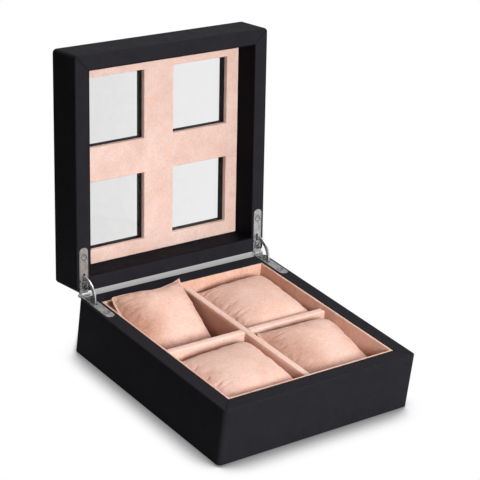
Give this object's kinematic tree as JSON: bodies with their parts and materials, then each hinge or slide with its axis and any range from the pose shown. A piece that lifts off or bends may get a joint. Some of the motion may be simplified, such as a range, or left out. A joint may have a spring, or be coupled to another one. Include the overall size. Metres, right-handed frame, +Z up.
{
  "type": "watch box",
  "caption": "Square watch box in black leatherette with a hinged lid, glass windows framed in velvet, velvet-lined compartments and loose cushions that carry the watches.",
  "frame": {"origin": "middle of the base's underside", "axes": "+X to the right seen from the front, +Y to the hinges at the back, +Z up"},
  "size_m": [0.2, 0.2718, 0.2546],
  "materials": {
    "leatherette": "fine matt grain",
    "board": "raw board",
    "velvet": "short soft nap",
    "felt": "matt felt",
    "glass": "clear polished",
    "nickel": "bright plated"
  },
  "bodies": {
    "base": {"base_bottom_panel": "board", "base_felt": "felt", "base_leather_cover": "leatherette", "floor_pad": "velvet", "divider_long": "velvet", "base_left_wall": "board", "lining_left": "velvet", "base_right_wall": "board", "lining_right": "velvet", "base_front_wall": "board", "lining_front": "velvet", "base_back_wall": "board", "lining_back": "velvet", "divider_cross_left": "velvet", "left_hinge_base_leaf": "nickel", "left_hinge_pin": "nickel", "left_hinge_base_screws": "nickel", "divider_cross_right": "velvet", "right_hinge_base_leaf": "nickel", "right_hinge_pin": "nickel", "right_hinge_base_screws": "nickel"},
    "lid": {"lid_top_panel": "board", "lid_glass": "glass", "lid_velvet_panel": "velvet", "lid_leather_cover": "leatherette", "lid_left_wall": "board", "lid_right_wall": "board", "lid_front_wall": "board", "lid_back_wall": "board", "left_hinge_lid_leaf": "nickel", "left_hinge_lid_screws": "nickel", "right_hinge_lid_leaf": "nickel", "right_hinge_lid_screws": "nickel"},
    "left_stay": {"left_hinge_stay": "nickel"},
    "right_stay": {"right_hinge_stay": "nickel"},
    "front_left_cushion": {"cushion_front_left": "velvet"},
    "front_right_cushion": {"cushion_front_right": "velvet"},
    "rear_left_cushion": {"cushion_rear_left": "velvet"},
    "rear_right_cushion": {"cushion_rear_right": "velvet"}
  },
  "joints": [
    {"name": "lid_hinge", "type": "hinge", "parent": "base", "child": "lid", "pos_m": [0, 0.10395, 0.0517], "axis": [-1, 0, 0], "range_deg": [-99, 0]},
    {"name": "left_stay_swing", "type": "hinge", "parent": "base", "child": "left_stay", "pos_m": [0, 0.10395, 0.0517], "axis": [-1, 0, 0], "range_deg": [-49.5, 0]},
    {"name": "right_stay_swing", "type": "hinge", "parent": "base", "child": "right_stay", "pos_m": [0, 0.10395, 0.0517], "axis": [-1, 0, 0], "range_deg": [-49.5, 0]},
    {"name": "front_left_cushion_lift", "type": "slide", "parent": "base", "child": "front_left_cushion", "axis": [0, 0, 1], "range_m": [0, 0.06]},
    {"name": "front_right_cushion_lift", "type": "slide", "parent": "base", "child": "front_right_cushion", "axis": [0, 0, 1], "range_m": [0, 0.06]},
    {"name": "rear_left_cushion_lift", "type": "slide", "parent": "base", "child": "rear_left_cushion", "axis": [0, 0, 1], "range_m": [0, 0.06]},
    {"name": "rear_right_cushion_lift", "type": "slide", "parent": "base", "child": "rear_right_cushion", "axis": [0, 0, 1], "range_m": [0, 0.06]}
  ],
  "couplings": [
    {"joint": "left_stay_swing", "follows": "lid_hinge", "ratio": 0.5},
    {"joint": "right_stay_swing", "follows": "lid_hinge", "ratio": 0.5}
  ]
}
